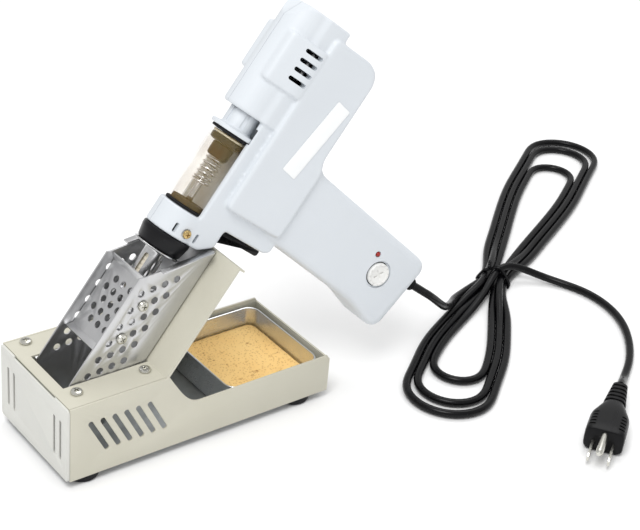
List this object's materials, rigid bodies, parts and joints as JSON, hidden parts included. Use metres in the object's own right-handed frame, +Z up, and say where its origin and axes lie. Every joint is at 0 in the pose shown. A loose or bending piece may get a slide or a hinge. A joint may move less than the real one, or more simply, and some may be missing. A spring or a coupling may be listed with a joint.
{
  "type": "desoldering gun station",
  "caption": "Pistol-shaped vacuum desoldering gun resting nose-down in a sheet-metal bench stand with a perforated cradle and a sponge tray, with its mains cord and plug.",
  "frame": {"origin": "on the bench, below the middle of the stand and gun together (the cord is left out)", "axes": "+X from the front panel of the stand towards the sponge tray and the grip, +Y across the stand away from the dial, +Z up"},
  "size_m": [0.6037, 0.3559, 0.2539],
  "materials": {
    "paint": "beige textured powder coat",
    "front_paint": "pale grey painted steel",
    "zinc": "bright zinc-plated sheet",
    "stainless": "brushed stainless steel",
    "screw": "bright nickel-plated screw",
    "brass": "brass",
    "rubber": "moulded black rubber",
    "sponge": "damp cellulose sponge",
    "housing": "fine-textured light grey moulding",
    "black": "black moulded plastic",
    "clear": "clear glass tube, a little amber",
    "steel": "polished steel",
    "ceramic": "white ceramic heater",
    "board": "green circuit board",
    "dial": "glossy off-white plastic",
    "led": "dark red lens",
    "label": "plain printed film",
    "filter": "felt and ceramic-paper filter",
    "cord": "black vinyl cord"
  },
  "bodies": {
    "stand": {"bottom_plate": "zinc", "side_frame": "paint", "front_panel": "front_paint", "holder_plate": "paint", "foot_1": "rubber", "foot_2": "rubber", "foot_3": "rubber", "foot_4": "rubber", "deck_screw_1": "screw", "deck_screw_2": "screw", "deck_screw_3": "screw", "deck_screw_4": "screw", "cradle_channel": "stainless", "cradle_cover": "stainless", "cradle_screw_1": "screw", "cradle_screw_2": "screw", "cradle_screw_3": "screw", "cradle_screw_4": "screw", "cord_hank_lower": "cord", "cord_hank_upper": "cord", "cable_tie": "black", "cord_tail": "cord", "plug_body": "black", "plug_blade_1": "brass", "plug_blade_2": "brass", "plug_ground_pin": "brass"},
    "gun": {"housing_left": "housing", "housing_right": "housing", "nose_screw": "brass", "housing_screw_1": "screw", "housing_screw_2": "screw", "collar": "black", "heater_shroud": "steel", "heater_core": "ceramic", "suction_pipe": "steel", "nozzle": "steel", "release_spring": "steel", "trigger_spring": "steel", "micro_switch": "black", "pump_body": "black", "vacuum_hose": "rubber", "motor": "steel", "circuit_board": "board", "led": "led", "rating_label": "label", "cord_gland": "black", "cord_lead": "cord"},
    "cartridge": {"filter_tube": "clear", "front_gasket": "rubber", "rear_gasket": "rubber", "prefilter_spring": "steel", "filter_holder": "black", "filter_disc": "filter"},
    "slider": {"release_slider": "housing"},
    "trigger": {"trigger": "black"},
    "dial": {"dial": "dial"},
    "cam": {"motor_cam": "brass"},
    "rod": {"pump_rod": "black"},
    "tray": {"sponge_tray": "stainless"},
    "sponge": {"sponge": "sponge"}
  },
  "joints": [
    {"name": "gun_lift", "type": "slide", "parent": "stand", "child": "gun", "axis": [0.6088, 0, 0.7934], "range_m": [0, 0.12]},
    {"name": "trigger_press", "type": "hinge", "parent": "gun", "child": "trigger", "pos_m": [-0.01843, -0.0033, 0.11665], "axis": [-0.1104, -0.9903, 0.0847], "range_deg": [0, 6], "stiffness_Nm_per_rad": 0.2, "springref_deg": -5.73, "deforming": ["trigger_spring"]},
    {"name": "dial_turn", "type": "hinge", "parent": "gun", "child": "dial", "pos_m": [0.09002, -0.0359, 0.07756], "axis": [-0.1104, -0.9903, 0.0847], "range_deg": [-135, 135]},
    {"name": "tube_release", "type": "slide", "parent": "gun", "child": "slider", "axis": [0.6088, 0, 0.7934], "range_m": [0, 0.006], "stiffness_N_per_m": 300, "springref_m": -0.004, "deforming": ["release_spring"]},
    {"name": "tube_lift", "type": "slide", "parent": "gun", "child": "cartridge", "axis": [-0.7856, 0.1392, 0.6028], "range_m": [0, 0.04]},
    {"name": "motor_spin", "type": "hinge", "parent": "gun", "child": "cam", "pos_m": [0.04626, -0.00376, 0.19558], "axis": [0.6088, 0, 0.7934], "continuous": true},
    {"name": "pump_stroke", "type": "slide", "parent": "gun", "child": "rod", "axis": [-0.7856, 0.1392, 0.6028], "range_m": [-0.0015, 0.0015], "stiffness_N_per_m": 2000},
    {"name": "tray_lift", "type": "slide", "parent": "stand", "child": "tray", "axis": [0, 0, 1], "range_m": [0, 0.03]},
    {"name": "sponge_lift", "type": "slide", "parent": "tray", "child": "sponge", "axis": [0, 0, 1], "range_m": [0, 0.02]}
  ]
}
